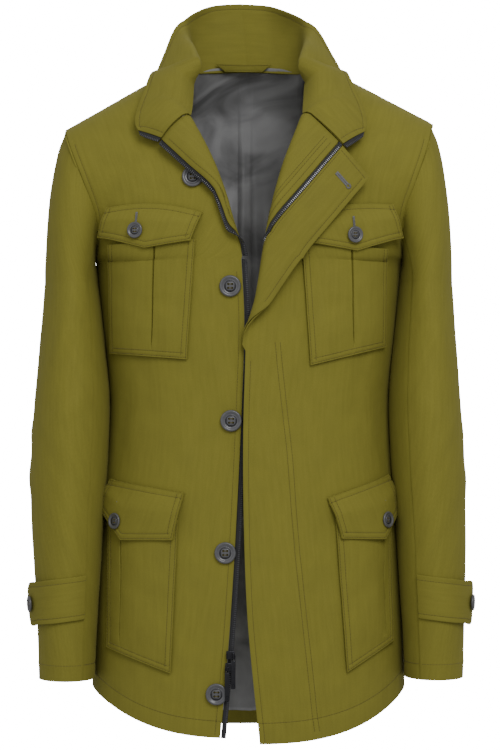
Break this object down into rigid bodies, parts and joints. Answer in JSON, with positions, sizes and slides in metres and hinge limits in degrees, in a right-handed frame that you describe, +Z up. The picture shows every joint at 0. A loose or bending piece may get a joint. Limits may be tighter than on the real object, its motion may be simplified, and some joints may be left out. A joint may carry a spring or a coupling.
{
  "type": "field jacket",
  "caption": "Hollow field jacket worn open at the neck, turned-back fronts, stand collar, flapped patch pockets, cuff tabs, button fly over a hanging two-way zip.",
  "frame": {"origin": "centre of the neck at the level where the shoulder seams meet the collar, where the wearer holds it up", "axes": "+Z up, -Y the front of the jacket, +X the wearer's left"},
  "size_m": [0.5503, 0.2791, 0.91],
  "materials": {
    "olive_cotton": "matt olive cotton twill",
    "olive_cotton_inner": "matt olive cotton, inner side",
    "satin_lining": "dark grey satin",
    "horn_button": "dark grey polished resin",
    "zip_tape": "black woven tape with metal teeth",
    "dark_metal": "blackened metal"
  },
  "bodies": {
    "jacket": {"back_left": "olive_cotton", "back_right": "olive_cotton", "chest_button_left": "horn_button", "chest_button_right": "horn_button", "chest_flap_left": "olive_cotton", "chest_flap_right": "olive_cotton", "chest_pocket_left": "olive_cotton", "chest_pocket_right": "olive_cotton", "collar_inner": "olive_cotton_inner", "collar_outer": "olive_cotton", "cuff_button_left": "horn_button", "cuff_button_right": "horn_button", "cuff_tab_left": "olive_cotton", "cuff_tab_right": "olive_cotton", "facing_left": "olive_cotton_inner", "facing_right": "olive_cotton_inner", "fly_placket": "olive_cotton_inner", "front_button_1": "horn_button", "front_button_2": "horn_button", "front_button_3": "horn_button", "front_button_4": "horn_button", "front_button_5": "horn_button", "front_left": "olive_cotton", "front_right": "olive_cotton", "hanger_loop": "olive_cotton_inner", "hem_facing_back": "olive_cotton_inner", "hip_button_left": "horn_button", "hip_button_right": "horn_button", "hip_flap_left": "olive_cotton", "hip_flap_right": "olive_cotton", "hip_pocket_left": "olive_cotton", "hip_pocket_right": "olive_cotton", "lining_back": "satin_lining", "sleeve_top_left": "olive_cotton", "sleeve_top_right": "olive_cotton", "sleeve_under_left": "olive_cotton", "sleeve_under_right": "olive_cotton", "zip_slider_lower": "dark_metal", "zip_slider_upper": "dark_metal", "zip_tape_left_collar": "zip_tape", "zip_tape_left_lower": "zip_tape", "zip_tape_left_upper": "zip_tape", "zip_tape_right_collar": "zip_tape", "zip_tape_right_lower": "zip_tape", "zip_tape_right_upper": "zip_tape"},
    "pull_upper": {"pull_tab_upper": "dark_metal"},
    "pull_lower": {"pull_tab_lower": "dark_metal"}
  },
  "joints": [
    {"name": "pull_upper_swing", "type": "hinge", "parent": "jacket", "child": "pull_upper", "pos_m": [-0.023, -0.14173, -0.704], "axis": [-1, 0, 0], "range_deg": [0, 160]},
    {"name": "pull_lower_swing", "type": "hinge", "parent": "jacket", "child": "pull_lower", "pos_m": [-0.03042, -0.14215, -0.718], "axis": [-1, 0, 0], "range_deg": [0, 160]}
  ]
}
